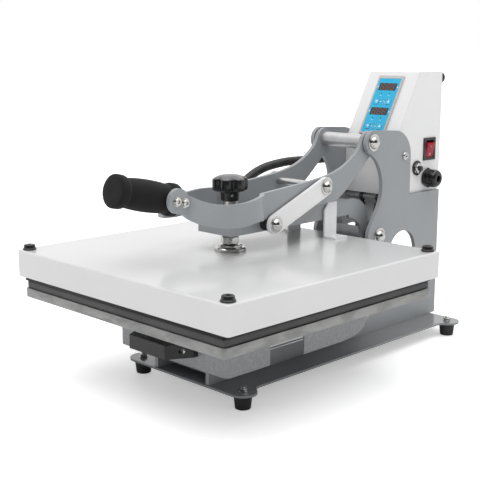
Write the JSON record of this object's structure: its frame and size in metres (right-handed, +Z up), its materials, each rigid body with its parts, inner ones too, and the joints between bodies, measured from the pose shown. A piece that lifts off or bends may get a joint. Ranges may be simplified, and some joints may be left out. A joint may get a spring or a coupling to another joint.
{
  "type": "heat press",
  "caption": "Clamshell heat press: toggle handle and pressure screw over a square heated platen, pull-out bed on telescopic slides, and a control box on the rear tower.",
  "frame": {"origin": "on the floor under the middle of the machine: the centre of the closed machine's bounding box, at foot level", "axes": "+Z up; +X to the operator's right; the operator stands at -Y facing +Y, the control box is at +Y"},
  "size_m": [0.4, 0.62, 0.3993],
  "materials": {
    "grey_paint": "satin grey powder coat",
    "base_paint": "satin grey powder coat",
    "white_paint": "smooth white powder coat",
    "foot_rubber": "moulded matte rubber",
    "bright_steel": "bright plated",
    "ground_steel": "ground steel",
    "rail_steel": "zinc plated sheet",
    "platen_alloy": "milled",
    "heater_alloy": "dark coated casting",
    "element": "heat-tinted sheath",
    "blanket": "fibre blanket",
    "pad_silicone": "matte silicone",
    "black_plastic": "moulded matte",
    "strut_paint": "black enamel",
    "cable_jacket": "ribbed hose",
    "grip_foam": "soft foam",
    "label_film": "printed film",
    "key_film": "domed film keys",
    "board": "circuit board",
    "switch_red": "translucent red"
  },
  "bodies": {
    "frame": {"base_plate": "base_paint", "rubber_feet": "foot_rubber", "foot_bolts": "bright_steel", "left_side_plate": "grey_paint", "right_side_plate": "grey_paint", "rear_brace": "grey_paint", "tie_rods": "grey_paint", "case_screws": "bright_steel", "control_box": "white_paint", "back_panel": "white_paint", "rear_bumpers": "foot_rubber", "display_bezel": "white_paint", "display_label": "label_film", "controller_board": "board", "switch_bezel": "black_plastic", "fuse_holder": "black_plastic", "mains_gland": "black_plastic", "tower_axles": "ground_steel", "axle_nuts": "bright_steel", "fixed_rails": "rail_steel", "heater_cable": "cable_jacket"},
    "rocker_body": {"rocker": "switch_red"},
    "temp_up": {"temp_up_key": "key_film"},
    "temp_down": {"temp_down_key": "key_film"},
    "time_up": {"time_up_key": "key_film"},
    "time_down": {"time_down_key": "key_film"},
    "lower_arm": {"arm_side_plates": "grey_paint", "arm_top_plate": "grey_paint", "screw_block": "grey_paint", "arm_bushes": "black_plastic", "toggle_axle": "ground_steel"},
    "platen": {"upper_cover": "white_paint", "heating_platen": "heater_alloy", "heating_element": "element", "insulation_blanket": "blanket", "cover_caps": "black_plastic", "guide_brackets": "white_paint", "thrust_collar": "ground_steel", "platen_gland": "black_plastic"},
    "screw": {"pressure_screw": "ground_steel", "pressure_knob": "black_plastic", "lock_nut": "bright_steel"},
    "handle": {"left_handle_arm": "grey_paint", "right_handle_arm": "grey_paint", "spacer_tube": "ground_steel", "link_axle": "ground_steel", "link_axle_nuts": "bright_steel", "grip_core": "ground_steel", "foam_grip": "grip_foam", "grip_bolts": "bright_steel"},
    "link": {"link_bars": "white_paint", "link_stubs": "bright_steel"},
    "strut_tubes": {"strut_cylinders": "strut_paint"},
    "strut_rod_pair": {"strut_rods": "ground_steel"},
    "drawer": {"bed_plate": "platen_alloy", "silicone_pad": "pad_silicone", "drawer_tray": "base_paint", "pull_handle": "black_plastic", "inner_rails": "rail_steel"},
    "slide_mid": {"mid_rails": "rail_steel"}
  },
  "joints": [
    {"name": "arm_hinge", "type": "hinge", "parent": "frame", "child": "lower_arm", "pos_m": [0, 0.142, 0.1649], "axis": [-1, 0, 0], "range_deg": [0, 36.04], "deforming": ["heater_cable"]},
    {"name": "handle_hinge", "type": "hinge", "parent": "frame", "child": "handle", "pos_m": [0, 0.123, 0.3029], "axis": [-1, 0, 0], "range_deg": [0, 90]},
    {"name": "link_hinge", "type": "hinge", "parent": "handle", "child": "link", "pos_m": [0, 0.022, 0.2498], "axis": [1, 0, 0], "range_deg": [0, 111.15]},
    {"name": "platen_slide", "type": "slide", "parent": "lower_arm", "child": "platen", "axis": [0, 0, 1], "range_m": [0, 0.0055]},
    {"name": "screw_turn", "type": "hinge", "parent": "platen", "child": "screw", "pos_m": [0, -0.112, 0.1743], "axis": [0, 0, 1], "range_deg": [0, 990.2]},
    {"name": "strut_swing", "type": "hinge", "parent": "frame", "child": "strut_tubes", "pos_m": [0, 0.187, 0.213], "axis": [-1, 0, 0], "range_deg": [0, 7.85]},
    {"name": "strut_stroke", "type": "slide", "parent": "strut_tubes", "child": "strut_rod_pair", "axis": [0, -0.2018, -0.9794], "range_m": [0, 0.01945]},
    {"name": "drawer_slide", "type": "slide", "parent": "frame", "child": "drawer", "axis": [0, -1, 0], "range_m": [0, 0.3]},
    {"name": "mid_slide", "type": "slide", "parent": "frame", "child": "slide_mid", "axis": [0, -1, 0], "range_m": [0, 0.15]},
    {"name": "power_rocker", "type": "hinge", "parent": "frame", "child": "rocker_body", "pos_m": [0.044, 0.269, 0.2833], "axis": [0, -1, 0], "range_deg": [0, 20]},
    {"name": "temp_up_press", "type": "slide", "parent": "frame", "child": "temp_up", "axis": [0, 0.8694, -0.4942], "range_m": [0, 0.0004], "stiffness_N_per_m": 300},
    {"name": "temp_down_press", "type": "slide", "parent": "frame", "child": "temp_down", "axis": [0, 0.8694, -0.4942], "range_m": [0, 0.0004], "stiffness_N_per_m": 300},
    {"name": "time_up_press", "type": "slide", "parent": "frame", "child": "time_up", "axis": [0, 0.8694, -0.4942], "range_m": [0, 0.0004], "stiffness_N_per_m": 300},
    {"name": "time_down_press", "type": "slide", "parent": "frame", "child": "time_down", "axis": [0, 0.8694, -0.4942], "range_m": [0, 0.0004], "stiffness_N_per_m": 300}
  ],
  "couplings": [
    {"joint": "handle_hinge", "follows": "arm_hinge", "ratio": 2.4972},
    {"joint": "link_hinge", "follows": "arm_hinge", "ratio": 3.0825},
    {"joint": "strut_swing", "follows": "arm_hinge", "ratio": 0.21725},
    {"joint": "strut_stroke", "follows": "arm_hinge", "m_per_rad": 0.030884},
    {"joint": "screw_turn", "follows": "platen_slide", "rad_per_m": 3141.6},
    {"joint": "mid_slide", "follows": "drawer_slide", "ratio": 0.5}
  ]
}
